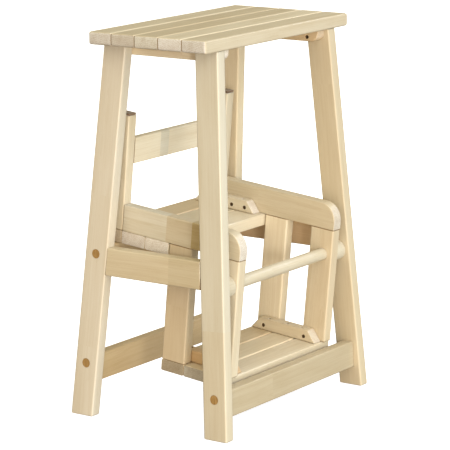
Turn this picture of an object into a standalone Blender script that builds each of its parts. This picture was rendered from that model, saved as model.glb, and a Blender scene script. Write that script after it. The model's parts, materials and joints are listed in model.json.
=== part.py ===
"""Folding wooden step ladder: a splayed stool frame with a two-tread step unit that flips out of it.

Frame: X runs along the seat slats, the front of the stool faces -Y, +Z is up, metres.
The origin is on the floor, under the middle of the stool's bounding box.
The step unit is stored upside down inside the frame and turns about a round wooden rod between
the front legs. Its pieces are placed in the unit's own axes, which start at the rod: "reach" runs
along the rails, away from the front, and "rise" runs from the treads to the tips of the posts.
"""
import bpy
import bmesh
from math import pi, radians
from mathutils import Matrix, Vector

# ---------------------------------------------------------------- driving dimensions
GAP = 0.0003                    # clearance left between two pieces that touch
BOARD = 0.0205                  # thickness of the planed stock
EDGE_ROUND = 0.0028             # rounding along a board
END_ROUND = 0.0010              # rounding around a board's sawn ends
LONGEST_END_EDGE = 0.060        # an edge shorter than this runs around a board's end
SHARP_ANGLE = radians(30)       # faces that meet at less than this are one smooth surface

SEAT_HEIGHT = 0.630
SEAT_THICKNESS = 0.0208
SEAT_LENGTH = 0.4020
SEAT_END_ROUND = 0.0042         # rounding of the seat's two ends
SEAT_SLATS = 5
SEAT_SLAT_WIDTH = 0.0450
SEAT_SLAT_GAP = 0.0006
SEAT_CENTRE_Y = -0.0068

LEG_WIDTH = 0.0438
LEG_THICKNESS = 0.0205
LEG_TOP_X = 0.1658              # outer face, under the seat
LEG_FOOT_X = 0.2072             # outer face, on the floor
LEG_FOOT_Y = 0.1339
LEG_TOP_Y = {"front": -0.0959, "back": 0.0817}
FOOT_ROUND = 0.0025             # rounding of the feet, against splintering

STRETCHER_HEIGHT = 0.0452
SIDE_STRETCHER_TOP = 0.2806
FRONT_STRETCHER_TOP = 0.0780
BACK_STRETCHER_TOP = 0.0998
FRONT_STRETCHER_Y = -0.1328
BACK_STRETCHER_Y = 0.1262
MIDDLE_STRETCHER_Y = 0.1096

SEAT_CLEAT_LENGTH = 0.208
SEAT_CLEAT_HEIGHT = 0.0194
SEAT_CLEAT_ROUND = 0.0145
OUTER_SEAT_SCREW = 0.0740       # from the middle of the seat to the screw near a cleat's end
LEG_SCREW_BELOW_SEAT = 0.0125
LEG_SCREW_INSET = 0.0070        # from the middle of a leg towards the middle of the seat

PIVOT_Y = -0.1178
PIVOT_Z = 0.2367
PIVOT_RADIUS = 0.0100
PIVOT_BLIND_DEPTH = 0.013
SPACER_RADIUS = 0.0175
SPACER_ROUND = 0.0012
STORED_TILT = 5.75              # degrees, treads off level in the stored pose

UNIT_HALF_WIDTH = 0.1453
UNIT_LEG_WIDTH = 0.0448
RAIL_FRONT = -0.0186
RAIL_BOTTOM = 0.0434
RAIL_TOP = 0.0868
RAIL_FRONT_ROUND = 0.029
POST_FRONT = 0.2134
PAD_THICKNESS = 0.0035
PAD_INSET = 0.0010
PAD_ROUND = 0.0006
MIDDLE_LEG_FRONT = 0.0736
TREAD_SLATS = 3
UPPER_TREAD_THICKNESS = 0.0210
UPPER_TREAD_FRONT = 0.1198
UPPER_SLAT_WIDTH = 0.0468
LOWER_TREAD_THICKNESS = 0.0190
LOWER_TREAD_FRONT = -0.0152
LOWER_TREAD_TOP = -0.1503
LOWER_SLAT_WIDTH = 0.0441
TREAD_SLAT_GAP = 0.0006
CROSSBOARD_THICKNESS = 0.0125
CROSSBOARD_INSET = 0.0010       # behind the front edge of the posts
CROSSBOARD_BOTTOM = 0.1507
CROSSBOARD_HEIGHT = 0.0440

CLEAT = 0.0200                  # tread cleats are square in section, seat cleats this wide
CLEAT_BEVEL = 0.0165            # run of a tread cleat's sloping end
CLEAT_ROUND = 0.0015
UPPER_CLEAT = (0.1287, 0.2525)
LOWER_CLEAT = (-0.0129, 0.1165)
UPPER_SIDE_SCREWS = (0.1481, 0.1746)
UPPER_TREAD_SCREWS = (0.1567, 0.1906, 0.2245)
LOWER_SIDE_SCREWS = (0.0100, 0.0915)
LOWER_TREAD_SCREWS = (0.0192, 0.0480, 0.0846)
SIDE_SCREW_RISE = 0.0085
TREAD_SCREW_OFFSET = 0.0025

PLUG_RADIUS = 0.0075
PLUG_DEPTH = 0.0060
PLUG_ABOVE_CENTRE = 0.0108      # plugs sit above the middle of the rail they fasten
PLUG_SIDES = 20
CLEAT_SCREW_LENGTH = 0.0310
STRETCHER_SCREW_LENGTH = 0.0460
COUNTERBORE_RADIUS = 0.0033
COUNTERBORE_DEPTH = 0.0074
SCREW_SIDES = 10
CUTTER_EXTRA = 0.0010           # how far a cutter starts outside the wood
MERGE_DISTANCE = 0.00001
ROUND_SIDES = 32

# ---------------------------------------------------------------- derived positions
SEAT_UNDERSIDE = SEAT_HEIGHT - SEAT_THICKNESS
LEG_TOP_Z = SEAT_UNDERSIDE - GAP
SPLAY = (LEG_FOOT_X - LEG_TOP_X) / SEAT_UNDERSIDE
UNIT_INNER = UNIT_HALF_WIDTH - BOARD
CLEAT_X = UNIT_INNER - GAP - CLEAT / 2
SIDES = (("left", -1), ("right", 1))

# Looks: linear colour, roughness, metallic
SEAT_WOOD = ((0.640, 0.515, 0.330), 0.48, 0.0)
LEG_WOOD = ((0.690, 0.575, 0.380), 0.48, 0.0)
RAIL_WOOD = ((0.660, 0.545, 0.355), 0.50, 0.0)
TREAD_WOOD = ((0.630, 0.510, 0.335), 0.48, 0.0)
CLEAT_WOOD = ((0.620, 0.480, 0.290), 0.52, 0.0)
ROD_WOOD = ((0.720, 0.610, 0.430), 0.45, 0.0)
PLUG_WOOD = ((0.400, 0.225, 0.065), 0.55, 0.0)
FELT = ((0.085, 0.045, 0.025), 0.95, 0.0)
STEEL = ((0.300, 0.270, 0.220), 0.40, 0.9)


# ---------------------------------------------------------------- scene helpers
def clear_scene():
    for obj in list(bpy.data.objects):
        bpy.data.objects.remove(obj, do_unlink=True)


def new_collection(name):
    collection = bpy.data.collections.new(name)
    bpy.context.scene.collection.children.link(collection)
    return collection


def new_material(name, look):
    colour, roughness, metallic = look
    material = bpy.data.materials.new(name + "_material")
    material.use_nodes = True
    shader = material.node_tree.nodes["Principled BSDF"]
    shader.inputs["Base Color"].default_value = (*colour, 1.0)
    shader.inputs["Roughness"].default_value = roughness
    shader.inputs["Metallic"].default_value = metallic
    material.diffuse_color = (*colour, 1.0)
    return material


def new_object(bm, name, location, parent, look):
    """Turn a bmesh into an object of the ladder, with its own material."""
    bmesh.ops.recalc_face_normals(bm, faces=bm.faces)
    mesh = bpy.data.meshes.new(name)
    bm.to_mesh(mesh)
    bm.free()
    mesh.materials.append(new_material(name, look))
    obj = bpy.data.objects.new(name, mesh)
    obj.location = location
    obj.parent = parent
    ladder.objects.link(obj)
    return obj


def board_radius(start, end):
    """Rounding of a board's edge: full along the board, slight around its ends."""
    return END_ROUND if (end - start).length < LONGEST_END_EDGE else EDGE_ROUND


def even_radius(radius):
    """The same rounding for every edge."""
    return lambda start, end: radius


def sharp_edge_radii(mesh, radius_of):
    """Radius of each edge of a mesh, and none where the surface is already smooth."""
    bm = bmesh.new()
    bm.from_mesh(mesh)
    radii = []
    for edge in bm.edges:
        start, end = [vert.co for vert in edge.verts]
        is_sharp = edge.calc_face_angle() > SHARP_ANGLE
        radii.append(radius_of(start, end) if is_sharp else 0)
    bm.free()
    return radii


def round_edges(obj, radius_of=board_radius, segments=2):
    """Bevel the sharp edges; radius_of gives an edge's radius from its two end points."""
    radii = sharp_edge_radii(obj.data, radius_of)
    widest = max(radii)
    weights = obj.data.attributes.new("bevel_weight_edge", "FLOAT", "EDGE")
    weights.data.foreach_set("value", [radius / widest for radius in radii])
    bevel = obj.modifiers.new("rounded_edges", "BEVEL")
    bevel.width = widest
    bevel.segments = segments
    bevel.limit_method = "WEIGHT"
    bevel.use_clamp_overlap = True
    shade(obj)


def shade(obj):
    obj.data.shade_smooth()
    obj.data.set_sharp_from_angle(angle=SHARP_ANGLE)


def drill(obj, cutter):
    cut = obj.modifiers.new("drill_" + cutter.name, "BOOLEAN")
    cut.operation = "DIFFERENCE"
    cut.solver = "EXACT"
    cut.object = cutter


# ---------------------------------------------------------------- shapes
def add_box(name, x, y, z, parent, look, radius_of=board_radius):
    """Square board between the (low, high) limits given along each axis."""
    limits = (x, y, z)
    size = Vector([high - low for low, high in limits])
    centre = Vector([(low + high) / 2 for low, high in limits])
    bm = bmesh.new()
    bmesh.ops.create_cube(bm, size=1.0)
    bmesh.ops.scale(bm, vec=size, verts=bm.verts)
    obj = new_object(bm, name, centre, parent, look)
    round_edges(obj, radius_of)
    return obj


def add_leaning_board(name, z_limits, x_at, y_at, look, radius_of=board_radius):
    """Board with level ends; x_at and y_at give its (low, high) limits at a height."""
    z_low, z_high = z_limits
    foot = Vector((sum(x_at(z_low)) / 2, sum(y_at(z_low)) / 2, z_low))
    bm = bmesh.new()
    bmesh.ops.create_cube(bm, size=2.0)
    for vert in bm.verts:
        height = z_high if vert.co.z > 0 else z_low
        x = x_at(height)[1 if vert.co.x > 0 else 0]
        y = y_at(height)[1 if vert.co.y > 0 else 0]
        vert.co = Vector((x, y, height)) - foot
    obj = new_object(bm, name, foot, None, look)
    round_edges(obj, radius_of)
    return obj


def add_cylinder_mesh(bm, radius, low, high, sides):
    """Cylinder along X between two positions; returns its vertices."""
    made = bmesh.ops.create_cone(
        bm, cap_ends=True, segments=sides, radius1=radius, radius2=radius, depth=high - low)
    turn = Matrix.Translation(((low + high) / 2, 0, 0)) @ Matrix.Rotation(pi / 2, 4, "Y")
    bmesh.ops.transform(bm, matrix=turn, verts=made["verts"])
    return made["verts"]


def add_turned(bm, profile, sides, frame=Matrix()):
    """Solid of revolution about its own Z; profile is (radius, depth) from axis to axis."""
    others = set(bm.verts)
    points = [bm.verts.new((radius, 0, depth)) for radius, depth in profile]
    edges = [bm.edges.new(pair) for pair in zip(points, points[1:])]
    bmesh.ops.spin(
        bm, geom=points + edges, cent=(0, 0, 0), axis=(0, 0, 1), angle=2 * pi, steps=sides)
    made = [vert for vert in bm.verts if vert not in others]
    bmesh.ops.remove_doubles(bm, verts=made, dist=MERGE_DISTANCE)
    made = [vert for vert in bm.verts if vert not in others]
    bmesh.ops.transform(bm, matrix=frame, verts=made)


def add_turned_piece(name, profile, frame, parent, look, sides=SCREW_SIDES):
    bm = bmesh.new()
    add_turned(bm, profile, sides)
    obj = new_object(bm, name, (0, 0, 0), parent, look)
    obj.matrix_local = frame
    shade(obj)
    return obj


def add_cutter(name, bm, parent):
    bmesh.ops.recalc_face_normals(bm, faces=bm.faces)
    mesh = bpy.data.meshes.new(name)
    bm.to_mesh(mesh)
    bm.free()
    obj = bpy.data.objects.new(name, mesh)
    obj.parent = parent
    obj.hide_render = True
    obj.display_type = "WIRE"
    cutters.objects.link(obj)
    return obj


def aim(origin, direction):
    """Frame at origin whose Z points along direction."""
    turn = Vector(direction).to_track_quat("Z", "Y").to_matrix().to_4x4()
    return Matrix.Translation(origin) @ turn


# ---------------------------------------------------------------- fasteners
def screw_profile(length, recess=0.0040, head=0.0030, shank=0.0018):
    """Countersunk screw whose head lies below the surface at depth 0."""
    rim = recess + 0.0008
    neck = recess + 0.0030
    tip = length - 0.0030
    return [
        (0, recess), (head, recess), (head, rim), (shank, neck), (shank, tip), (0, length)]


def screw_hole(length, bore=0.0021):
    return [
        (0, -CUTTER_EXTRA), (COUNTERBORE_RADIUS, -CUTTER_EXTRA),
        (COUNTERBORE_RADIUS, COUNTERBORE_DEPTH), (bore, COUNTERBORE_DEPTH),
        (bore, length + GAP), (0, length + GAP)]


def counterbore():
    """Blind mouth of a screw hole."""
    return [
        (0, -CUTTER_EXTRA), (COUNTERBORE_RADIUS, -CUTTER_EXTRA),
        (COUNTERBORE_RADIUS, COUNTERBORE_DEPTH), (0, COUNTERBORE_DEPTH)]


def plug_profile():
    return [(0, 0), (PLUG_RADIUS, 0), (PLUG_RADIUS, PLUG_DEPTH), (0, PLUG_DEPTH)]


def plugged_screw():
    return screw_profile(
        STRETCHER_SCREW_LENGTH, recess=PLUG_DEPTH + 2 * GAP, head=0.0041, shank=0.0022)


def plugged_hole():
    """Stepped hole for a plug and the screw behind it."""
    wide = PLUG_RADIUS + GAP
    mouth = 0.0045
    bore = 0.0026
    ledge = PLUG_DEPTH + GAP
    floor = PLUG_DEPTH + 0.0040
    end = STRETCHER_SCREW_LENGTH + GAP
    start = -3 * CUTTER_EXTRA
    return [
        (0, start), (wide, start), (wide, ledge), (mouth, ledge),
        (mouth, floor), (bore, floor), (bore, end), (0, end)]


def rod_hole(reach):
    wide = PIVOT_RADIUS + GAP
    return [(0, -reach), (wide, -reach), (wide, reach), (0, reach)]


def cutter_mesh(jobs):
    """Cutter bodies; jobs is a list of (profile, frame, sides)."""
    bm = bmesh.new()
    for profile, frame, sides in jobs:
        add_turned(bm, profile, sides, frame)
    return bm


# ---------------------------------------------------------------- fixed frame
def leg_outer_x(z):
    return LEG_TOP_X + SPLAY * (SEAT_UNDERSIDE - z)


def leg_inner_x(z):
    return leg_outer_x(z) - LEG_THICKNESS


def leg_centre_y(row, z):
    foot = -LEG_FOOT_Y if row == "front" else LEG_FOOT_Y
    return foot + (LEG_TOP_Y[row] - foot) * z / SEAT_UNDERSIDE


def signed_span(sign, inner, outer):
    return tuple(sorted((sign * inner, sign * outer)))


def leg_radius(start, end):
    """As on any board, but more around the foot."""
    is_foot = max(start.z, end.z) < LEG_TOP_Z / 2
    return FOOT_ROUND if is_foot else board_radius(start, end)


def make_leg(row, side, sign):
    def x_at(z):
        return signed_span(sign, leg_inner_x(z), leg_outer_x(z))

    def y_at(z):
        centre = leg_centre_y(row, z)
        return centre - LEG_WIDTH / 2, centre + LEG_WIDTH / 2

    return add_leaning_board(
        f"leg_{row}_{side}", (0, LEG_TOP_Z), x_at, y_at, LEG_WOOD, leg_radius)


def seat_radius(index):
    """Full rounding along a slat, more over its ends, and slight where two slats meet there."""
    outer_side = {0: -1, SEAT_SLATS - 1: 1}.get(index, 0)

    def radius_of(start, end):
        if abs(end.x - start.x) > LONGEST_END_EDGE:
            return EDGE_ROUND
        is_upright = abs(end.z - start.z) > GAP
        is_inner = start.y * outer_side <= 0
        return END_ROUND if is_upright and is_inner else SEAT_END_ROUND

    return radius_of


def make_seat_slats():
    pitch = SEAT_SLAT_WIDTH + SEAT_SLAT_GAP
    slats = []
    for index in range(SEAT_SLATS):
        centre = SEAT_CENTRE_Y + (index - (SEAT_SLATS - 1) / 2) * pitch
        y = (centre - SEAT_SLAT_WIDTH / 2, centre + SEAT_SLAT_WIDTH / 2)
        x = (-SEAT_LENGTH / 2, SEAT_LENGTH / 2)
        slats.append(add_box(
            f"seat_slat_{index + 1}", x, y, (SEAT_UNDERSIDE, SEAT_HEIGHT), None, SEAT_WOOD,
            seat_radius(index)))
    return slats


def make_seat_cleat(side, sign):
    """Batten under the slats with its two lower corners rounded off."""
    low = SEAT_UNDERSIDE - GAP - SEAT_CLEAT_HEIGHT
    inner = leg_inner_x(SEAT_UNDERSIDE) - GAP - CLEAT
    half = SEAT_CLEAT_LENGTH / 2
    bm = bmesh.new()
    bmesh.ops.create_cube(bm, size=2.0)
    for vert in bm.verts:
        z = low + SEAT_CLEAT_HEIGHT if vert.co.z > 0 else low
        is_outer = vert.co.x * sign > 0
        x = sign * (leg_inner_x(z) - GAP if is_outer else inner)
        vert.co = (x, half if vert.co.y > 0 else -half, z - low)
    ends = [
        edge for edge in bm.edges
        if all(vert.co.z < SEAT_CLEAT_HEIGHT / 2 for vert in edge.verts)
        and edge.verts[0].co.y == edge.verts[1].co.y]
    bmesh.ops.bevel(bm, geom=ends, offset=SEAT_CLEAT_ROUND, segments=5, profile=0.5,
                    affect="EDGES", clamp_overlap=True)
    cleat = new_object(bm, f"seat_cleat_{side}", (0, SEAT_CENTRE_Y, low), None, CLEAT_WOOD)
    round_edges(cleat, even_radius(CLEAT_ROUND), 1)
    return cleat


def make_side_stretcher(side, sign):
    """Rail between a front and a back leg, flush with their outer faces."""
    def x_at(z):
        return signed_span(sign, leg_outer_x(z) - BOARD, leg_outer_x(z))

    def y_at(z):
        front = leg_centre_y("front", z) + LEG_WIDTH / 2 + GAP
        back = leg_centre_y("back", z) - LEG_WIDTH / 2 - GAP
        return front, back

    z_limits = (SIDE_STRETCHER_TOP - STRETCHER_HEIGHT, SIDE_STRETCHER_TOP)
    return add_leaning_board(f"side_stretcher_{side}", z_limits, x_at, y_at, RAIL_WOOD)


def make_cross_stretcher(name, centre_y, top):
    """Rail between the inner faces of a left and a right leg."""
    def x_at(z):
        reach = leg_inner_x(z) - GAP
        return -reach, reach

    def y_at(z):
        return centre_y - BOARD / 2, centre_y + BOARD / 2

    return add_leaning_board(name, (top - STRETCHER_HEIGHT, top), x_at, y_at, RAIL_WOOD)


def make_spacer(side, sign):
    """Collar on the rod; its outer end is cut to the splay of the leg."""
    inner = UNIT_HALF_WIDTH + 2 * GAP
    outer = leg_inner_x(PIVOT_Z) - GAP
    bm = bmesh.new()
    add_cylinder_mesh(bm, SPACER_RADIUS, inner, outer, ROUND_SIDES)
    middle = (inner + outer) / 2
    for vert in bm.verts:
        if vert.co.x > middle:
            vert.co.x -= SPLAY * vert.co.z
        vert.co.x *= sign
    spacer = new_object(
        bm, f"pivot_spacer_{side}", (0, PIVOT_Y, PIVOT_Z), None, ROD_WOOD)
    round_edges(spacer, even_radius(SPACER_ROUND), 1)
    return spacer


def make_pivot_rod():
    reach = leg_inner_x(PIVOT_Z) + PIVOT_BLIND_DEPTH
    bm = bmesh.new()
    add_cylinder_mesh(bm, PIVOT_RADIUS, -reach, reach, ROUND_SIDES)
    shade(new_object(bm, "pivot_rod", (0, PIVOT_Y, PIVOT_Z), None, ROD_WOOD))


def plug_frames():
    """A plugged screw runs through a leg's outer face into the end of each cross stretcher."""
    places = (
        ("front", "front", FRONT_STRETCHER_TOP), ("back", "back", BACK_STRETCHER_TOP),
        ("rest", "back", SIDE_STRETCHER_TOP))
    frames = {}
    for place, row, top in places:
        z = top - STRETCHER_HEIGHT / 2 + PLUG_ABOVE_CENTRE
        for side, sign in SIDES:
            origin = (sign * leg_outer_x(z), leg_centre_y(row, z), z)
            frames[f"{place}_{side}"] = aim(origin, (-sign, 0, -SPLAY))
    return frames


def seat_screw_frames():
    """Mouths of the screws up through the seat cleats into the slats."""
    low = SEAT_UNDERSIDE - GAP - SEAT_CLEAT_HEIGHT
    x = leg_inner_x(SEAT_UNDERSIDE) - GAP - CLEAT / 2
    pitch = SEAT_SLAT_WIDTH + SEAT_SLAT_GAP
    offsets = (-OUTER_SEAT_SCREW, -pitch, 0, pitch, OUTER_SEAT_SCREW)
    return [
        aim((sign * x, SEAT_CENTRE_Y + offset, low), (0, 0, 1))
        for _, sign in SIDES for offset in offsets]


def leg_screw_frames():
    """Mouths of the screws out through the seat cleats into the tops of the legs."""
    z = SEAT_UNDERSIDE - LEG_SCREW_BELOW_SEAT
    x = leg_inner_x(SEAT_UNDERSIDE) - GAP - CLEAT
    places = (
        leg_centre_y("front", z) + LEG_SCREW_INSET, leg_centre_y("back", z) - LEG_SCREW_INSET)
    return [aim((sign * x, y, z), (sign, 0, 0)) for _, sign in SIDES for y in places]


def make_frame_cutter():
    rod_end = leg_inner_x(PIVOT_Z) + PIVOT_BLIND_DEPTH + GAP
    jobs = [(rod_hole(rod_end), aim((0, PIVOT_Y, PIVOT_Z), (1, 0, 0)), ROUND_SIDES)]
    for frame in seat_screw_frames() + leg_screw_frames():
        jobs.append((counterbore(), frame, SCREW_SIDES))
    for frame in plug_frames().values():
        jobs.append((plugged_hole(), frame, PLUG_SIDES))
    return add_cutter("frame_holes", cutter_mesh(jobs), None)


def make_frame():
    wood = make_seat_slats()
    for side, sign in SIDES:
        wood.append(make_seat_cleat(side, sign))
        wood.append(make_leg("front", side, sign))
        wood.append(make_leg("back", side, sign))
        wood.append(make_side_stretcher(side, sign))
        wood.append(make_spacer(side, sign))
    wood.append(make_cross_stretcher("front_stretcher", FRONT_STRETCHER_Y, FRONT_STRETCHER_TOP))
    wood.append(make_cross_stretcher("back_stretcher", BACK_STRETCHER_Y, BACK_STRETCHER_TOP))
    wood.append(make_cross_stretcher("rest_stretcher", MIDDLE_STRETCHER_Y, SIDE_STRETCHER_TOP))
    frame_holes = make_frame_cutter()
    for piece in wood:
        drill(piece, frame_holes)
    make_pivot_rod()
    for place, frame in plug_frames().items():
        add_turned_piece(f"wood_plug_{place}", plug_profile(), frame, None, PLUG_WOOD, PLUG_SIDES)
        add_turned_piece(f"stretcher_screw_{place}", plugged_screw(), frame, None, STEEL)


# ---------------------------------------------------------------- swinging step unit
def unit_span(sign):
    return signed_span(sign, UNIT_INNER, UNIT_HALF_WIDTH)


def rail_radius(start, end):
    """Full rounding over the free top and front of a rail, slight where it meets the uprights."""
    runs_across = abs(end.x - start.x) > GAP
    at_post = start.y > 0 and end.y > 0
    at_bottom = start.z < 0 and end.z < 0
    return END_ROUND if runs_across or at_post or at_bottom else EDGE_ROUND


def make_rail(side, sign, pivot):
    """Side rail; its free front corner is rounded off with a large radius."""
    reach = (RAIL_FRONT, POST_FRONT - GAP)
    rise = (RAIL_BOTTOM + GAP, RAIL_TOP)
    size = Vector((BOARD, reach[1] - reach[0], rise[1] - rise[0]))
    centre = Vector((sign * (UNIT_HALF_WIDTH - BOARD / 2), sum(reach) / 2, sum(rise) / 2))
    bm = bmesh.new()
    bmesh.ops.create_cube(bm, size=1.0)
    bmesh.ops.scale(bm, vec=size, verts=bm.verts)
    corner = [
        edge for edge in bm.edges if all(vert.co.y < 0 < vert.co.z for vert in edge.verts)]
    bmesh.ops.bevel(bm, geom=corner, offset=RAIL_FRONT_ROUND, segments=8, profile=0.5,
                    affect="EDGES", clamp_overlap=True)
    rail = new_object(bm, f"step_rail_{side}", centre, pivot, RAIL_WOOD)
    round_edges(rail, rail_radius)
    return rail


def make_unit_legs(side, sign, pivot):
    """The three uprights of one side: front leg on the rod, middle leg, and post."""
    x = unit_span(sign)
    lower = (LOWER_TREAD_TOP + GAP, RAIL_BOTTOM)
    front = (RAIL_FRONT, RAIL_FRONT + UNIT_LEG_WIDTH)
    middle = (MIDDLE_LEG_FRONT, MIDDLE_LEG_FRONT + UNIT_LEG_WIDTH)
    post = (POST_FRONT, POST_FRONT + UNIT_LEG_WIDTH)
    tip = PIVOT_Z - PAD_THICKNESS - GAP
    legs = [
        add_box(f"step_front_leg_{side}", x, front, lower, pivot, RAIL_WOOD),
        add_box(f"step_middle_leg_{side}", x, middle, lower, pivot, RAIL_WOOD),
        add_box(f"step_post_{side}", x, post, (RAIL_BOTTOM + GAP, tip), pivot, RAIL_WOOD)]
    pad_x = signed_span(sign, UNIT_INNER + PAD_INSET, UNIT_HALF_WIDTH - PAD_INSET)
    pad_reach = (post[0] + PAD_INSET, post[1] - PAD_INSET)
    add_box(f"post_pad_{side}", pad_x, pad_reach, (tip + GAP, PIVOT_Z - GAP), pivot, FELT,
            even_radius(PAD_ROUND))
    return legs


def make_tread(name, first, width, rise, pivot):
    slats = []
    for index in range(TREAD_SLATS):
        start = first + index * (width + TREAD_SLAT_GAP)
        x = (-UNIT_HALF_WIDTH, UNIT_HALF_WIDTH)
        slats.append(add_box(
            f"{name}_slat_{index + 1}", x, (start, start + width), rise, pivot, TREAD_WOOD))
    return slats


def make_tread_cleat(name, sign, reach, base, pivot):
    """Square batten on top of the stored slats, with both ends cut on the slope."""
    low, high = reach
    centre = Vector((sign * CLEAT_X, (low + high) / 2, base + GAP + CLEAT / 2))
    bm = bmesh.new()
    bmesh.ops.create_cube(bm, size=1.0)
    bmesh.ops.scale(bm, vec=(CLEAT, high - low, CLEAT), verts=bm.verts)
    for vert in bm.verts:
        if vert.co.z > 0:
            vert.co.y -= CLEAT_BEVEL if vert.co.y > 0 else -CLEAT_BEVEL
    cleat = new_object(bm, name, centre, pivot, CLEAT_WOOD)
    round_edges(cleat, even_radius(CLEAT_ROUND), 1)
    return cleat


def make_crossboard(pivot):
    x = (-UNIT_INNER + GAP, UNIT_INNER - GAP)
    front = POST_FRONT + CROSSBOARD_INSET
    rise = (CROSSBOARD_BOTTOM, CROSSBOARD_BOTTOM + CROSSBOARD_HEIGHT)
    return add_box(
        "post_crossboard", x, (front, front + CROSSBOARD_THICKNESS), rise, pivot, RAIL_WOOD)


def side_screw_frames():
    """Screws out through the tread cleats into rail, front leg or middle leg."""
    rows = (
        ("upper", UPPER_SIDE_SCREWS, RAIL_BOTTOM), ("lower", LOWER_SIDE_SCREWS, LOWER_TREAD_TOP))
    frames = {}
    for row, places, base in rows:
        for side, sign in SIDES:
            for index, reach in enumerate(places, start=1):
                origin = (sign * (CLEAT_X - CLEAT / 2), reach, base + SIDE_SCREW_RISE)
                frames[f"{row}_cleat_screw_{side}_{index}"] = aim(origin, (sign, 0, 0))
    return frames


def tread_screw_frames():
    """Mouths of the screws through the tread cleats into each slat."""
    frames = []
    for places, base in (
            (UPPER_TREAD_SCREWS, RAIL_BOTTOM), (LOWER_TREAD_SCREWS, LOWER_TREAD_TOP)):
        for _, sign in SIDES:
            for reach in places:
                origin = (sign * (CLEAT_X - TREAD_SCREW_OFFSET), reach, base + GAP + CLEAT)
                frames.append(aim(origin, (0, 0, -1)))
    return frames


def make_unit_cutter(pivot):
    jobs = [
        (rod_hole(UNIT_HALF_WIDTH + CUTTER_EXTRA), aim((0, 0, 0), (1, 0, 0)), ROUND_SIDES)]
    for frame in side_screw_frames().values():
        jobs.append((screw_hole(CLEAT_SCREW_LENGTH), frame, SCREW_SIDES))
    for frame in tread_screw_frames():
        jobs.append((counterbore(), frame, SCREW_SIDES))
    return add_cutter("unit_holes", cutter_mesh(jobs), pivot)


def make_step_unit():
    pivot = bpy.data.objects.new("step_unit_pivot", None)
    pivot.location = (0, PIVOT_Y, PIVOT_Z)
    pivot.rotation_euler = (radians(STORED_TILT), 0, 0)
    ladder.objects.link(pivot)

    upper_rise = (RAIL_BOTTOM - UPPER_TREAD_THICKNESS, RAIL_BOTTOM)
    lower_rise = (LOWER_TREAD_TOP - LOWER_TREAD_THICKNESS, LOWER_TREAD_TOP)
    wood = make_tread("upper_tread", UPPER_TREAD_FRONT, UPPER_SLAT_WIDTH, upper_rise, pivot)
    wood += make_tread("lower_tread", LOWER_TREAD_FRONT, LOWER_SLAT_WIDTH, lower_rise, pivot)
    for side, sign in SIDES:
        wood.append(make_rail(side, sign, pivot))
        wood += make_unit_legs(side, sign, pivot)
        wood.append(make_tread_cleat(
            f"upper_cleat_{side}", sign, UPPER_CLEAT, RAIL_BOTTOM, pivot))
        wood.append(make_tread_cleat(
            f"lower_cleat_{side}", sign, LOWER_CLEAT, LOWER_TREAD_TOP, pivot))
    wood.append(make_crossboard(pivot))
    unit_holes = make_unit_cutter(pivot)
    for piece in wood:
        drill(piece, unit_holes)
    for name, frame in side_screw_frames().items():
        add_turned_piece(name, screw_profile(CLEAT_SCREW_LENGTH), frame, pivot, STEEL)


clear_scene()
ladder = new_collection("wooden_step_ladder")
cutters = new_collection("cutters")
make_frame()
make_step_unit()
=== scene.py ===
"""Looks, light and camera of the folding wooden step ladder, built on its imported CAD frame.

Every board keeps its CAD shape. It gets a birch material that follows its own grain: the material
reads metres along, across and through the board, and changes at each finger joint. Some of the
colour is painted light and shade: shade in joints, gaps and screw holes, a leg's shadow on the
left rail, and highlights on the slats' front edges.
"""
import json
from math import cos, pi, radians, sin
from random import Random

import bmesh
import bpy
from mathutils import Euler, Matrix, Vector

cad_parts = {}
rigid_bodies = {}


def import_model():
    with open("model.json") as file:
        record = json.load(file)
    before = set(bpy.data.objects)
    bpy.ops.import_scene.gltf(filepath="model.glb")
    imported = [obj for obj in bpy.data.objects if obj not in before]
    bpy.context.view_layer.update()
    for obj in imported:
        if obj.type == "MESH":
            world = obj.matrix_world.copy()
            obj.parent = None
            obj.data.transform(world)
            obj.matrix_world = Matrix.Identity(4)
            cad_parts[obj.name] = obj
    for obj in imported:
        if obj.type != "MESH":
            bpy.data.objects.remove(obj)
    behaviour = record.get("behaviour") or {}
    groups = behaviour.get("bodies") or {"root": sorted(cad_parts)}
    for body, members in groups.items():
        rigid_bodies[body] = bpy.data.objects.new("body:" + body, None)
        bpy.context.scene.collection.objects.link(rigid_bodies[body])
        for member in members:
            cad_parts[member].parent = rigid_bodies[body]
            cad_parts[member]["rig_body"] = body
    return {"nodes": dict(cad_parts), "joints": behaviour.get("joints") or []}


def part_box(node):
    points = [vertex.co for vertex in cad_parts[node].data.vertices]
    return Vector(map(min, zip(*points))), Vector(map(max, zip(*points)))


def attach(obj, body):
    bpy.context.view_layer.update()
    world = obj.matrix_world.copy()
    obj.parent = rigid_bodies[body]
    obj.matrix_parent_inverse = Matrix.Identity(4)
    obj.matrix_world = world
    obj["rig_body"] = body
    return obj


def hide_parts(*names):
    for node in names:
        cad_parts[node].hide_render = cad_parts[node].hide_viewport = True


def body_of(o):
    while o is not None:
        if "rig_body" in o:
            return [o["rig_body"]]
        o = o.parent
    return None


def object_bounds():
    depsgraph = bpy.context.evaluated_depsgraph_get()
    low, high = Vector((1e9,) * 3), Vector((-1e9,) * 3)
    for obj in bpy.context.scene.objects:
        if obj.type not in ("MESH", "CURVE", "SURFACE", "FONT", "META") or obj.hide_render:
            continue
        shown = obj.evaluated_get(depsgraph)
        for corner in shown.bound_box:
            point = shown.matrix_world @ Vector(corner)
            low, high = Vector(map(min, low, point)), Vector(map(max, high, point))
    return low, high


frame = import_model()
NODES = frame["nodes"]
CAD_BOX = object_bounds()

# ---------------------------------------------------------------- camera and light
CAMERA_PLACE = (-3.19731, -2.29309, 1.13468)
CAMERA_TURN = (77.9202, 0.6379, -54.5871)
CAMERA_LENS = 196.21
CAMERA_SENSOR = 36
CAMERA_SHIFT = (0.00183, 0.00268)
CAMERA_REACH = 100

LIGHT_DISTANCE = 3.0
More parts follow.
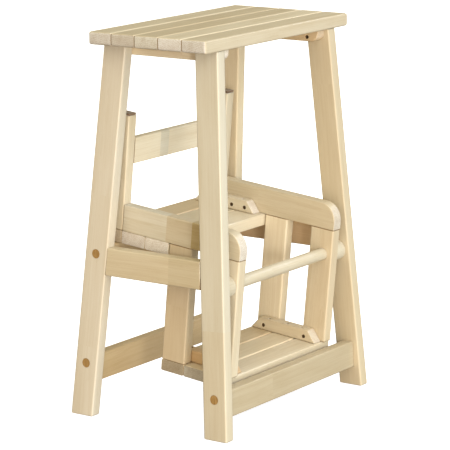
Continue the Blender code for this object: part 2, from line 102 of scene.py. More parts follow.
# Softboxes: name, azimuth from the front towards the left, elevation, width, power, colour
SOFTBOXES = (
    ("key_softbox", 41, 5, 0.4, 20, (1.0, 0.95, 0.85)),
    ("top_softbox", -4, 45, 1.2, 8, (1.0, 1.06, 1.75)),
    ("gloss_softbox", -70, 32, 1.0, 10, (0.96, 1.06, 1.24)),
    ("back_softbox", 178, 6, 1.2, 12, (1.0, 0.97, 0.90)))
SKY_BELOW = (0.0, 0.0, 0.0)
SKY_HORIZON = (0.0, 0.02, 0.0)
SKY_ZENITH = (1.12, 1.05, 0.77)
# Where each sky colour sits between straight down (0) and straight up (1)
SKY_STOPS = ((0.44, SKY_BELOW), (0.53, SKY_HORIZON), (1.0, SKY_ZENITH))
# Broad lights on the walls of the studio: azimuth, colour
WALL_LIGHTS = (
    (41, (2.22, 1.69, 1.24)),
    (8, (0.16, 0.50, 0.62)),
    (-80, (0.24, 0.14, 0.10)))
WALL_FALLOFF = 2.0              # power of the cosine by which a wall light fades to its sides
FLOOR_SIZE = 60
FLOOR_ALBEDO = 0.80
FLOOR_GLOW = (0.78, 0.80, 0.86)

# ---------------------------------------------------------------- directions
TILT = radians(5.75)            # the stored step unit leans by this much about X
REACH = Vector((0, cos(TILT), sin(TILT)))
RISE = Vector((0, -sin(TILT), cos(TILT)))
X = Vector((1, 0, 0))
Y = Vector((0, 1, 0))
SIDES = (("left", -1), ("right", 1))

# ---------------------------------------------------------------- colours
WOOD_LIGHT = (0.900, 0.800, 0.650)
WOOD_DARK = (0.680, 0.540, 0.353)
END_LIGHT = (0.950, 0.890, 0.850)
END_DARK = (0.660, 0.550, 0.460)
PLUG_LIGHT = (0.45, 0.29, 0.115)
PLUG_DARK = (0.29, 0.165, 0.055)
FELT_DARK = (0.10, 0.055, 0.030)
FELT_LIGHT = (0.27, 0.17, 0.105)
# Screw steel: the yellow of the zinc, darkened as painted shade of the deep holes
STEEL_LIGHT = (0.34, 0.27, 0.17)
STEEL_DARK = (0.15, 0.12, 0.08)
# Painted shade in the screw holes: their walls coloured dark for the shade deep inside
HOLE_SHADE_DARK = (0.10, 0.06, 0.03)
HOLE_SHADE_LIGHT = (0.24, 0.16, 0.08)

# ---------------------------------------------------------------- grain and texture
# Scales are in changes per metre, for a board along, across and through it
WANDER_SCALE = (3.0, 7.0, 7.0)
WANDER_SIZE = (0.0, 0.014, 0.012)
RING_WIDTH = 0.0030
RING_WANDER_SCALE = (1.5, 60, 60)
RING_WANDER = 2.2               # in rings
RING_SHARPNESS = 5.0
FINE_SCALE = (11, 520, 520)
BAND_SCALE = (2.5, 95, 95)
BLOTCH_SCALE = (7, 32, 32)
FLECK_SCALE = (75, 1300, 1300)
FLECK_RANGE = (0.64, 0.72)
PORE_SCALE = (300, 640, 640)
SMUDGE_SCALE = (20, 90, 90)
PLUG_SCALE = (40, 900, 90)
TUFT_SCALE = (900, 900, 900)
CLUMP_SCALE = (160, 160, 160)
STAIN_SCALE = (420, 420, 420)
TORN_SCALE = (900, 900, 900)

# How much each layer darkens a board's faces and its sawn ends
FACE_SHADE = 0.22
FACE_RING = 0.13
FACE_FINE = 0.60
FACE_BAND = 0.44
FACE_BLOTCH = 0.50
FACE_FLECK = 0.16
END_SHADE = 0.25
END_RING = 0.60
END_PORE = 2.6
END_SMUDGE = 1.2

SATIN = 0.34                    # roughness of the lacquer
SATIN_FINE = 0.16
SATIN_END = 0.18
COAT_WEIGHT = 0.30
COAT_ROUGHNESS = 0.32
RING_RELIEF = -0.3
FLECK_RELIEF = -0.5
# Bumps as strength and height in metres
WOOD_BUMP = (0.35, 0.0002)
PLUG_BUMP = (0.40, 0.0002)
FELT_BUMP = (0.80, 0.0006)
HOLE_BUMP = (0.60, 0.0003)
END_FACING = (0.55, 0.85)       # how squarely a face looks along its board: side, sawn end
PLUG_RANGE = (0.3, 0.7)         # grain noise at which a plug is lightest and darkest
PLUG_SHIFT = 10                 # metres that the plugs' grain can be apart

# ---------------------------------------------------------------- blocks of a board
BLOCK_LENGTH = (0.16, 0.34)     # finger-jointed pieces in a board, shortest and longest
FIRST_BLOCK_PART = (0.3, 1.0)   # how much of the first one is left after sawing
SHORTEST_LAST_BLOCK = 0.05
BLOCK_CHANGE = (0.98, 1.01)     # each block is this much darker or paler than its board
BLOCK_SEEDS = 91.7              # spreads the seeds, which are from 0 to 1, for the white noise
BLOCK_SPREAD = (4.0, 0.070, 0.030)
PITH = (0.0, 0.0, 0.048)        # the middle of the tree lies this far off the board
LEG_END = 0.01                  # points this near a leg's top or foot belong to its end

# Tones that multiply the colour of the wood
BRIGHT = (0.95, 0.96, 0.93)
GOLD = (0.92, 0.91, 0.85)
PALE = (0.87, 0.90, 0.90)
CREAM = (0.82, 0.84, 0.83)
FRESH = (0.76, 0.78, 0.76)
COOL = (0.75, 0.81, 0.86)
ASH = (0.735, 0.77, 0.78)
ICE = (0.79, 0.84, 0.91)
SILVER = (0.68, 0.69, 0.66)
SAND = (0.80, 0.80, 0.74)
FLAX = (0.72, 0.72, 0.67)
STRAW = (0.76, 0.75, 0.70)
TAWNY = (0.79, 0.70, 0.56)
RUSSET = (0.74, 0.63, 0.51)
HONEY = (0.73, 0.70, 0.63)
DULL = (0.67, 0.67, 0.61)
GREY = (0.61, 0.60, 0.54)
AMBER = (0.64, 0.56, 0.41)
OCHRE = (0.67, 0.54, 0.37)
BROWN = (0.67, 0.62, 0.51)
# Painted shadow: the front-left leg's shadow on the left rail
LEG_SHADOW_UMBER = (0.53, 0.48, 0.32)

# Tone of each board, or its blocks as (start along the board, tone): finger-jointed pieces, and on
# the left rail a band of painted shadow. The tones were fitted under this light, so each also
# holds some painted light and shade.
TONES = {
    "seat_slat_1": SILVER, "seat_slat_2": FRESH, "seat_slat_3": GREY, "seat_slat_4": GREY,
    "seat_slat_5": SILVER,
    "leg_front_left": ((0.0, ASH), (0.285, COOL)),
    "leg_front_right": FLAX, "leg_back_left": ICE, "leg_back_right": GOLD,
    "side_stretcher_left": ((0.0, DULL), (0.33, FLAX)),
    "side_stretcher_right": RUSSET, "front_stretcher": GREY,
    "back_stretcher": AMBER, "rest_stretcher": TAWNY,
    "seat_cleat_left": BRIGHT, "seat_cleat_right": TAWNY,
    "upper_tread_slat_1": PALE, "upper_tread_slat_2": DULL, "upper_tread_slat_3": BROWN,
    "lower_tread_slat_1": CREAM, "lower_tread_slat_2": SAND, "lower_tread_slat_3": BROWN,
    # From 0.19 to 0.41 along the left rail the tone is a painted shadow of the front-left leg
    "step_rail_left": ((0.0, FRESH), (0.19, LEG_SHADOW_UMBER), (0.41, SILVER), (0.625, COOL)),
    "step_rail_right": FLAX,
    "step_front_leg_left": CREAM, "step_front_leg_right": STRAW,
    "step_middle_leg_left": HONEY, "step_middle_leg_right": BRIGHT,
    "step_post_left": CREAM, "step_post_right": CREAM,
    "upper_cleat_left": STRAW, "upper_cleat_right": CREAM,
    "lower_cleat_left": OCHRE, "lower_cleat_right": STRAW,
    "post_crossboard": ((0.0, PALE), (0.28, COOL), (0.37, PALE)),
    "pivot_rod": ASH, "pivot_spacer_left": ASH, "pivot_spacer_right": ASH}

# Sawn ends that are darker or paler than the board's faces, by the first name that fits. The lower
# treads' darker ends are painted shade, for the shade of the legs beside them.
END_TONES = {
    "lower_tread": (0.63, 0.63, 0.60), "upper_tread_slat_2": (1.15, 1.18, 1.30),
    "seat_slat_3": (1.15, 1.24, 1.34), "seat_slat": (1.03, 1.07, 1.14)}
PLAIN_END = (1.0, 1.0, 1.0)

# Ends that butt against another board, where a thin dark line is painted: partly their glue line,
# partly painted shade of the gap at the joint
BUTTED_STARTS = (
    "side_stretcher", "front_stretcher", "back_stretcher", "rest_stretcher", "step_front_leg",
    "step_middle_leg", "step_post", "post_crossboard")
BUTTED_ENDS = (
    "side_stretcher", "front_stretcher", "back_stretcher", "rest_stretcher", "step_front_leg",
    "step_middle_leg", "step_rail", "post_crossboard", "leg_")
JOINT_LINE = 0.0011             # how far the dark line reaches along the board
OUT_OF_REACH = 1.0              # moves a line that isn't wanted past the end of any board
# Colour laid in joint lines and slat gaps: painted shade, with the butt joints' glue line
JOINT_PAINTED_SHADE = (0.50, 0.40, 0.30)
SLAT_COUNTS = {"seat": 5, "upper_tread": 3, "lower_tread": 3}
# Painted shade deep in the gaps between slats
PAINTED_GAP_SHADE_START = 0.0009        # how far from a slat's edge its gap begins to darken
PAINTED_GAP_SHADE_END = 0.0003
# Painted highlight: a pale line along each slat's rounded front edge, for the light that arris
# catches
HIGHLIGHT_REACH = 0.0038             # how far a slat's painted highlight on its rounded front edge reaches from its side
HIGHLIGHT_FULL = 0.0026
HIGHLIGHT_TINT = (1.34, 1.36, 1.42)

# How strongly the grain shows, fainter on some boards
FAINT_BOARDS = ("leg_", "step_middle_leg_left", "upper_tread_slat_1")
FAINT_FIGURE = 1.0
CLEAR_FIGURE = 1.55

GRAIN_ALONG = (
    (("seat_slat", "upper_tread", "lower_tread", "front_stretcher", "back_stretcher",
      "rest_stretcher", "post_crossboard", "pivot"), X),
    (("seat_cleat", "side_stretcher"), Y),
    (("step_rail", "upper_cleat", "lower_cleat"), REACH),
    (("step_front_leg", "step_middle_leg", "step_post"), RISE))

# ---------------------------------------------------------------- edges
MERGE_DISTANCE = 0.00001
SMOOTH_ANGLE = radians(50)
FACE_WEIGHT = 100               # how strongly the large flat faces hold the normals

# ---------------------------------------------------------------- screws and their holes
SCREW_RECESS = 0.0040           # how far a head lies below the mouth of its hole
COUNTERBORE_DEPTH = 0.0073
CLEAT_SCREW_LENGTH = 0.0310
TIP_RADIUS = 0.0004
TIP_LENGTH = 0.0006
SHANK_RADIUS = 0.0018
SHANK_START = 0.0020            # depths below the top of the head
HEAD_CONE_START = 0.0007
HEAD_RIM_START = 0.0002
HEAD_RADIUS = 0.0030
HEAD_TOP_RADIUS = 0.00279
CROSS_MOUTH = (0.0019, 0.00042)     # reach and half width of the cross recess
CROSS_FLOOR = (0.0013, 0.00036)
CROSS_DEPTH = 0.0014
CLEAT = 0.0200                  # side of the square cleats
TREAD_SCREW_OFFSET = 0.0025     # from the middle of a tread cleat towards the middle of the step
UPPER_TREAD_SCREWS = (0.1567, 0.1906, 0.2245)
LOWER_TREAD_SCREWS = (0.0192, 0.0480, 0.0846)
SEAT_SCREWS = (-0.0740, -0.0456, 0, 0.0456, 0.0740)
LEG_SCREW_BELOW_SEAT = 0.0125
LEG_SCREW_INSET = 0.0070
HOLE_RADIUS = 0.0036
HOLE_LIP = 0.0001               # faces nearer the mouth than this are the cleat's own


# ---------------------------------------------------------------- node helpers
def connect(tree, socket, value):
    """Link a socket to another one, or set it to a plain value."""
    if isinstance(value, bpy.types.NodeSocket):
        tree.links.new(value, socket)
    else:
        socket.default_value = value


def add_node(tree, kind, inputs=None, **settings):
    """One node with its settings and its input sockets set or linked."""
    made = tree.nodes.new(kind)
    for key, value in settings.items():
        setattr(made, key, value)
    for name, value in (inputs or {}).items():
        connect(tree, made.inputs[name], value)
    return made


def calc(tree, operation, *values, clamp=False):
    """One Math node."""
    made = tree.nodes.new("ShaderNodeMath")
    made.operation = operation
    made.use_clamp = clamp
    for socket, value in zip(made.inputs, values):
        connect(tree, socket, value)
    return made.outputs[0]


def vector_calc(tree, operation, *values):
    """One Vector Math node; gives its number for a length or dot product."""
    made = tree.nodes.new("ShaderNodeVectorMath")
    made.operation = operation
    for socket, value in zip(made.inputs, values):
        connect(tree, socket, value)
    return made.outputs["Value" if operation in ("LENGTH", "DOT_PRODUCT") else "Vector"]


def noise(tree, point, stretch, detail=2.0, roughness=0.5, output="Fac"):
    """Noise that varies stretch times per metre along, across and through a board."""
    scaled = vector_calc(tree, "MULTIPLY", point, stretch)
    made = add_node(
        tree, "ShaderNodeTexNoise",
        {"Vector": scaled, "Scale": 1.0, "Detail": detail, "Roughness": roughness})
    return made.outputs[output]


def ramp_between(tree, value, low, high):
    """0 below low, 1 above high, smooth between."""
    made = add_node(
        tree, "ShaderNodeMapRange", {"Value": value, "From Min": low, "From Max": high},
        interpolation_type="SMOOTHSTEP")
    return made.outputs["Result"]


def mix_colour(tree, factor, first, second, blend="MIX"):
    made = tree.nodes.new("ShaderNodeMix")
    made.data_type = "RGBA"
    made.blend_type = blend
    connect(tree, made.inputs[0], factor)
    connect(tree, made.inputs[6], first)
    connect(tree, made.inputs[7], second)
    return made.outputs[2]


def opaque(colour):
    return (*colour, 1.0)


def set_stops(ramp, stops):
    """Give a colour ramp its stops as (position, colour with alpha), in order."""
    while len(ramp.elements) > 1:
        ramp.elements.remove(ramp.elements[-1])
    ramp.elements[0].position, ramp.elements[0].color = stops[0]
    for position, colour in stops[1:]:
        ramp.elements.new(position).color = colour


def add_layers(tree, base, *layers):
    """Base plus each noise layer, centred on 0, times its weight."""
    for layer, weight in layers:
        base = calc(tree, "MULTIPLY_ADD", calc(tree, "SUBTRACT", layer, 0.5), weight, base)
    return base


# ---------------------------------------------------------------- birch
def new_group(name, inputs, outputs, kind="ShaderNodeTree"):
    tree = bpy.data.node_groups.new(name, kind)
    for direction, sockets in (("INPUT", inputs), ("OUTPUT", outputs)):
        for socket, socket_type in sockets:
            tree.interface.new_socket(name=socket, in_out=direction, socket_type=socket_type)
    return tree


def block_shift(tree, seed):
    """Where a block sat in its tree: a shift of its grain, with the pith to one side."""
    random = add_node(
        tree, "ShaderNodeTexWhiteNoise", {"W": calc(tree, "MULTIPLY", seed, BLOCK_SEEDS)},
        noise_dimensions="1D").outputs["Color"]
    centred = vector_calc(tree, "SUBTRACT", random, (0.5, 0.5, 0.5))
    return vector_calc(tree, "ADD", vector_calc(tree, "MULTIPLY", centred, BLOCK_SPREAD), PITH)


def ring_lines(tree, fibre):
    """Growth rings about the pith: 1 at the thin darker line that closes each one."""
    radius = vector_calc(tree, "LENGTH", vector_calc(tree, "MULTIPLY", fibre, (0, 1, 1)))
    turns = calc(tree, "DIVIDE", radius, RING_WIDTH)
    uneven = calc(tree, "MULTIPLY", noise(tree, fibre, RING_WANDER_SCALE), RING_WANDER)
    phase = calc(tree, "FRACT", calc(tree, "ADD", turns, uneven))
    return calc(tree, "POWER", phase, RING_SHARPNESS)


def face_colour(tree, shifted, fibre, ring, fine, fleck, figure):
    """Colour of a planed face, streaked along the fibres."""
    bands = noise(tree, fibre, BAND_SCALE)
    blotch = noise(tree, shifted, BLOTCH_SCALE)
    depth = add_layers(
        tree, calc(tree, "MULTIPLY", ring, FACE_RING),
        (fine, FACE_FINE), (bands, FACE_BAND), (blotch, FACE_BLOTCH))
    depth = calc(tree, "MULTIPLY_ADD", fleck, FACE_FLECK, depth)
    depth = calc(tree, "MULTIPLY_ADD", depth, figure, FACE_SHADE, clamp=True)
    return mix_colour(tree, depth, opaque(WOOD_LIGHT), opaque(WOOD_DARK))


def end_colour(tree, shifted, ring):
    """Colour of a sawn end: speckled, with the rings seen as arcs."""
    pores = noise(tree, shifted, PORE_SCALE, detail=4.0, roughness=0.75)
    smudge = noise(tree, shifted, SMUDGE_SCALE, detail=3.0)
    depth = add_layers(
        tree, calc(tree, "MULTIPLY", ring, END_RING), (pores, END_PORE), (smudge, END_SMUDGE))
    depth = calc(tree, "ADD", depth, END_SHADE, clamp=True)
    return mix_colour(tree, depth, opaque(END_LIGHT), opaque(END_DARK))


def make_birch_group():
    """Birch for any board: Board is a point along, across and through it, in metres."""
    tree = new_group(
        "birch",
        (("Board", "NodeSocketVector"), ("Tone", "NodeSocketColor"),
         ("Seed", "NodeSocketFloat"), ("End", "NodeSocketFloat"), ("Figure", "NodeSocketFloat")),
        (("Color", "NodeSocketColor"), ("Roughness", "NodeSocketFloat"),
         ("Height", "NodeSocketFloat")))
    given = tree.nodes.new("NodeGroupInput").outputs
    shifted = vector_calc(tree, "ADD", given["Board"], block_shift(tree, given["Seed"]))

    # Fibres wander slowly along the board
    wander = vector_calc(
        tree, "SUBTRACT", noise(tree, shifted, WANDER_SCALE, output="Color"), (0.5, 0.5, 0.5))
    fibre = vector_calc(
        tree, "ADD", shifted, vector_calc(tree, "MULTIPLY", wander, WANDER_SIZE))
    ring = ring_lines(tree, fibre)
    fine = noise(tree, fibre, FINE_SCALE, detail=4.0, roughness=0.7)
    fleck = ramp_between(tree, noise(tree, fibre, FLECK_SCALE, detail=1.0), *FLECK_RANGE)

    face = face_colour(tree, shifted, fibre, ring, fine, fleck, given["Figure"])
    colour = mix_colour(tree, given["End"], face, end_colour(tree, shifted, ring))
    toned = mix_colour(tree, 1.0, colour, given["Tone"], blend="MULTIPLY")
    rough = calc(tree, "MULTIPLY_ADD", fine, SATIN_FINE, SATIN)
    rough = calc(tree, "MULTIPLY_ADD", given["End"], SATIN_END, rough)
    height = calc(tree, "MULTIPLY_ADD", ring, RING_RELIEF, fine)
    height = calc(tree, "MULTIPLY_ADD", fleck, FLECK_RELIEF, height)
    out = tree.nodes.new("NodeGroupOutput")
    connect(tree, out.inputs["Color"], toned)
    connect(tree, out.inputs["Roughness"], rough)
    connect(tree, out.inputs["Height"], height)
    return tree


def grain_direction(name):
    """Which way the grain runs in a board."""
    for starts, along in GRAIN_ALONG:
        if name.startswith(starts):
            return along
    low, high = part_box(name)
    points = [vert.co for vert in NODES[name].data.vertices]
    top = [point for point in points if point.z > high.z - LEG_END]
    foot = [point for point in points if point.z < low.z + LEG_END]
    return (sum(top, Vector()) / len(top) - sum(foot, Vector()) / len(foot)).normalized()


def board_frame(name):
    """A board's start, its rotation (along, across, through) and its length."""
    along = grain_direction(name)
    if along != X:
        side = X
    else:
        side = REACH if body_of(NODES[name]) == ["step_unit"] else Y
    side = (side - along * side.dot(along)).normalized()
    axes = [along, side, along.cross(side)]
    points = [vert.co for vert in NODES[name].data.vertices]
    spans = [(min(p.dot(axis) for p in points), max(p.dot(axis) for p in points)) for axis in axes]
    widths = [high - low for low, high in spans]
    middles = [(low + high) / 2 for low, high in spans]
    start = axes[0] * spans[0][0] + axes[1] * middles[1] + axes[2] * middles[2]
    if widths[1] < widths[2]:
        axes = [axes[0], axes[2], -axes[1]]
    return start, Matrix(axes).transposed(), widths[0]


def blocks_of(name, length):
    """Blocks of a board as (start as a part of its length, tone, seed): finger-jointed pieces, and
    any band of painted shadow given in TONES.
    """
    random = Random(name)
    given = TONES.get(name, CREAM)
    if isinstance(given[0], tuple):
        return [(start, tone, random.random()) for start, tone in given]
    blocks = [(0.0, given, random.random())]
    place = random.uniform(*FIRST_BLOCK_PART) * random.uniform(*BLOCK_LENGTH)
    while place < length - SHORTEST_LAST_BLOCK:
        change = random.uniform(*BLOCK_CHANGE)
        tone = tuple(channel * change for channel in given)
        blocks.append((place / length, tone, random.random()))
        place += random.uniform(*BLOCK_LENGTH)
    return blocks


def new_material(name):
    material = bpy.data.materials.new(name)
    material.use_nodes = True
    return material, material.node_tree, material.node_tree.nodes["Principled BSDF"]


def bump(tree, shader, height, strength, distance):
    made = add_node(
        tree, "ShaderNodeBump",
        {"Height": height, "Strength": strength, "Distance": distance})
    connect(tree, shader.inputs["Normal"], made.outputs["Normal"])


def end_tone_of(name):
    for starts, tone in END_TONES.items():
        if name.startswith(starts):
            return tone
    return PLAIN_END


def glue_and_shade_lines(tree, name, along, length):
    """1 within a joint line's width of the ends that butt against another board: the glue line and
    the painted shade of the joint's gap.
    """
    start = JOINT_LINE if name.startswith(BUTTED_STARTS) else -OUT_OF_REACH
    finish = length + (-JOINT_LINE if name.startswith(BUTTED_ENDS) else OUT_OF_REACH)
    at_start = calc(tree, "LESS_THAN", along, start)
    return calc(tree, "ADD", at_start, calc(tree, "GREATER_THAN", along, finish), clamp=True)


def painted_slat_gap_shade(tree, name, across):
    """1 where shade is painted deep in the gaps between a slat and its neighbours, 0 on any other
    board.
    """
    row, is_slat, number = name.partition("_slat_")
    if not is_slat:
        return 0.0
    low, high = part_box(name)
    half = (high.y - low.y) / 2
    shades = []
    for side, last in ((-1, 1), (1, SLAT_COUNTS[row])):
        if int(number) != last:
            depth = calc(tree, "MULTIPLY_ADD", across, side, -half)
            shades.append(ramp_between(tree, depth, -PAINTED_GAP_SHADE_START, -PAINTED_GAP_SHADE_END))
    return shades[0] if len(shades) == 1 else calc(tree, "MAXIMUM", *shades)


def painted_edge_highlight(tree, name, across):
    """1 where a highlight is painted on the rounded front edge of a slat that has another in
    front, 0 elsewhere.
    """
    row, is_slat, number = name.partition("_slat_")
    if not is_slat or number == "1":
        return 0.0
    low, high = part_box(name)
    depth = calc(tree, "SUBTRACT", calc(tree, "MULTIPLY", across, -1.0), (high.y - low.y) / 2)
    inner = ramp_between(tree, depth, -HIGHLIGHT_REACH, -HIGHLIGHT_FULL)
    outer = ramp_between(tree, depth, -PAINTED_GAP_SHADE_END, -PAINTED_GAP_SHADE_START)
    return calc(tree, "MULTIPLY", inner, outer)


def tone_over(tree, name, along, across, length, end, block_tone):
    """Tone of a board from place to place: its blocks and ends, painted shade in its joint lines
    and gaps, and painted highlights on its slats' front edges.
    """
    end_tone = mix_colour(tree, end, opaque(PLAIN_END), opaque(end_tone_of(name)))
    tone = mix_colour(tree, 1.0, block_tone, end_tone, blend="MULTIPLY")
    # Painted shade in the joint lines and slat gaps
    dark = calc(
        tree, "MAXIMUM", glue_and_shade_lines(tree, name, along, length), painted_slat_gap_shade(tree, name, across))
    tone = mix_colour(tree, dark, tone, opaque(JOINT_PAINTED_SHADE), blend="MULTIPLY")
    # Painted highlight on the slats' rounded front edges, left off their sawn ends
    painted_highlight = calc(tree, "MULTIPLY", painted_edge_highlight(tree, name, across), calc(tree, "SUBTRACT", 1.0, end))
    return mix_colour(tree, painted_highlight, tone, opaque(HIGHLIGHT_TINT), blend="MULTIPLY")


def make_wood(name):
    """Birch material of one board."""
    start, turn, length = board_frame(name)
    material, tree, shader = new_material(name + "_birch")
    place = add_node(tree, "ShaderNodeTexCoord")
    board = add_node(
        tree, "ShaderNodeMapping",
        {"Vector": place.outputs["Object"], "Location": start, "Rotation": turn.to_euler()},
        vector_type="TEXTURE").outputs["Vector"]
    along, across, _ = add_node(tree, "ShaderNodeSeparateXYZ", {"Vector": board}).outputs
    # A stepped ramp holds the blocks: tone in its colour, seed in its alpha
    blocks = add_node(tree, "ShaderNodeValToRGB", {"Fac": calc(tree, "DIVIDE", along, length)})
    blocks.color_ramp.interpolation = "CONSTANT"
    set_stops(
        blocks.color_ramp,
        [(first, (*tone, seed)) for first, tone, seed in blocks_of(name, length)])
    facing = vector_calc(tree, "DOT_PRODUCT", place.outputs["Normal"], tuple(turn.col[0]))
    end = ramp_between(tree, calc(tree, "ABSOLUTE", facing), *END_FACING)
    tone = tone_over(tree, name, along, across, length, end, blocks.outputs["Color"])
    figure = FAINT_FIGURE if name.startswith(FAINT_BOARDS) else CLEAR_FIGURE
    inputs = {
        "Board": board, "Tone": tone, "Seed": blocks.outputs["Alpha"], "End": end,
        "Figure": figure}
    birch = add_node(tree, "ShaderNodeGroup", node_tree=BIRCH)
    for socket, value in inputs.items():
        connect(tree, birch.inputs[socket], value)
    connect(tree, shader.inputs["Base Color"], birch.outputs["Color"])
    connect(tree, shader.inputs["Roughness"], birch.outputs["Roughness"])
    shader.inputs["Coat Weight"].default_value = COAT_WEIGHT
    shader.inputs["Coat Roughness"].default_value = COAT_ROUGHNESS
    bump(tree, shader, birch.outputs["Height"], *WOOD_BUMP)
    return material


def make_plug_wood(name):
    """Darker plug with its grain across the leg."""
    low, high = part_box(name)
    material, tree, shader = new_material(name + "_plug_wood")
    place = add_node(tree, "ShaderNodeTexCoord").outputs["Object"]
    local = vector_calc(tree, "SUBTRACT", place, tuple((low + high) / 2))
    shift = PLUG_SHIFT * Random(name).random()
    shifted = vector_calc(tree, "ADD", local, (shift, shift, shift))
    grain = noise(tree, shifted, PLUG_SCALE, detail=4.0)
    colour = mix_colour(
        tree, ramp_between(tree, grain, *PLUG_RANGE), opaque(PLUG_LIGHT), opaque(PLUG_DARK))
    connect(tree, shader.inputs["Base Color"], colour)
    connect(tree, shader.inputs["Roughness"], calc(tree, "MULTIPLY_ADD", grain, 0.2, 0.35))
    bump(tree, shader, grain, *PLUG_BUMP)
    return material


def make_felt():
    """Pressed brown felt of the pads."""
    material, tree, shader = new_material("brown_felt")
    place = add_node(tree, "ShaderNodeTexCoord").outputs["Object"]
    tufts = noise(tree, place, TUFT_SCALE, detail=5.0, roughness=0.7)
    clumps = noise(tree, place, CLUMP_SCALE)
    shade = calc(tree, "MULTIPLY_ADD", clumps, 0.4, calc(tree, "MULTIPLY", tufts, 0.8), clamp=True)
    colour = mix_colour(tree, shade, opaque(FELT_DARK), opaque(FELT_LIGHT))
    connect(tree, shader.inputs["Base Color"], colour)
    shader.inputs["Roughness"].default_value = 0.95
    shader.inputs["Sheen Weight"].default_value = 0.4
    bump(tree, shader, tufts, *FELT_BUMP)
    return material


def make_steel():
    """Yellow-passivated screw steel, mottled, its colour darkened as painted shade of the hole it
    sits down in.
    """
    material, tree, shader = new_material("zinc_steel")
    place = add_node(tree, "ShaderNodeTexCoord").outputs["Object"]
    stain = noise(tree, place, STAIN_SCALE, detail=3.0)
    colour = mix_colour(tree, stain, opaque(STEEL_LIGHT), opaque(STEEL_DARK))
    connect(tree, shader.inputs["Base Color"], colour)
    shader.inputs["Metallic"].default_value = 1.0
    connect(tree, shader.inputs["Roughness"], calc(tree, "MULTIPLY_ADD", stain, 0.3, 0.2))
    return material


def make_hole_painted_shade():
    """Wood in the walls of a screw hole, painted dark as the shade deep in the hole, with the torn
    bump of the drill.
    """
    material, tree, shader = new_material("hole_painted_shade")
    place = add_node(tree, "ShaderNodeTexCoord").outputs["Object"]
    torn = noise(tree, place, TORN_SCALE, detail=3.0)
    colour = mix_colour(tree, torn, opaque(HOLE_SHADE_DARK), opaque(HOLE_SHADE_LIGHT))
    connect(tree, shader.inputs["Base Color"], colour)
    shader.inputs["Roughness"].default_value = 0.9
    bump(tree, shader, torn, *HOLE_BUMP)
    return material


def material_of(name):
    if name.startswith("wood_plug"):
        return make_plug_wood(name)
    if name.startswith("post_pad"):
        return FELT
    if "screw" in name:
        return STEEL
    return make_wood(name)


# ---------------------------------------------------------------- smooth rounded edges
def make_smoothing_group():
    """Geometry nodes that join a piece's faces and keep only its true corners sharp."""
    tree = new_group(
        "smooth_rounding", (("Geometry", "NodeSocketGeometry"),),
        (("Geometry", "NodeSocketGeometry"),), kind="GeometryNodeTree")
    given = tree.nodes.new("NodeGroupInput").outputs["Geometry"]
    joined = add_node(
        tree, "GeometryNodeMergeByDistance", {"Geometry": given, "Distance": MERGE_DISTANCE})
    angle = tree.nodes.new("GeometryNodeInputMeshEdgeAngle").outputs["Unsigned Angle"]
    is_corner = add_node(tree, "FunctionNodeCompare", data_type="FLOAT", operation="GREATER_THAN")
    connect(tree, is_corner.inputs["A"], angle)
    connect(tree, is_corner.inputs["B"], SMOOTH_ANGLE)
    smooth = add_node(
        tree, "GeometryNodeSetShadeSmooth",
        {"Geometry": joined.outputs["Geometry"], "Shade Smooth": True}, domain="FACE")
    cornered = add_node(
        tree, "GeometryNodeSetShadeSmooth",
        {"Geometry": smooth.outputs["Geometry"], "Selection": is_corner.outputs["Result"],
         "Shade Smooth": False}, domain="EDGE")
    out = tree.nodes.new("NodeGroupOutput")
    connect(tree, out.inputs["Geometry"], cornered.outputs["Geometry"])
    return tree


def smooth(obj):
    """Shade a piece smooth over its rounded edges and flat over its faces."""
    attributes = obj.data.attributes
    for name in ("custom_normal", "sharp_edge", "sharp_face"):
        if name in attributes:
            attributes.remove(attributes[name])
    rounding = obj.modifiers.new("smooth_rounding", "NODES")
    rounding.node_group = SMOOTHING
    flatten = obj.modifiers.new("flat_faces", "WEIGHTED_NORMAL")
    flatten.keep_sharp = True
    flatten.weight = FACE_WEIGHT


# ---------------------------------------------------------------- screw heads
def cross_outline(reach, half_width, depth):
    """Corners of a cross at some depth, three to each quarter."""
    quarter = [(reach, half_width), (half_width, half_width), (half_width, reach)]
    corners = []
    for turn in range(4):
        angle = turn * pi / 2
        for x, y in quarter:
            corners.append(Vector((
                x * cos(angle) - y * sin(angle), x * sin(angle) + y * cos(angle), depth)))
    return corners


def circle_like(outline, radius, depth):
    """Circle with one point in the direction of each corner of an outline."""
    return [Vector((*(corner.xy.normalized() * radius), depth)) for corner in outline]


def screw_loops(length):
    """Loops of a countersunk cross-recess screw, from its tip to the floor of its recess."""
    cross = cross_outline(*CROSS_MOUTH, SCREW_RECESS)
    rings = (
        (TIP_RADIUS, length),
        (SHANK_RADIUS, length - TIP_LENGTH),
        (SHANK_RADIUS, SCREW_RECESS + SHANK_START),
        (HEAD_RADIUS, SCREW_RECESS + HEAD_CONE_START),
        (HEAD_RADIUS, SCREW_RECESS + HEAD_RIM_START),
        (HEAD_TOP_RADIUS, SCREW_RECESS))
    return [
        *(circle_like(cross, radius, depth) for radius, depth in rings),
        cross, cross_outline(*CROSS_FLOOR, SCREW_RECESS + CROSS_DEPTH)]


def add_screw(bm, place, length):
    """Skin one screw's loops and cap its tip and the floor of its recess."""
    rows = [[bm.verts.new(place @ point) for point in loop] for loop in screw_loops(length)]
    for low, high in zip(rows, rows[1:]):
        for index in range(len(low)):
            after = (index + 1) % len(low)
            bm.faces.new((low[index], low[after], high[after], high[index]))
    bm.faces.new(rows[0][::-1])
    bm.faces.new(rows[-1])


def aim(origin, direction, spin):
    """Frame at origin whose Z points into the wood, turned by spin degrees about it."""
    turn = direction.to_track_quat("Z", "Y").to_matrix().to_4x4()
    return Matrix.Translation(origin) @ turn @ Matrix.Rotation(radians(spin), 4, "Z")


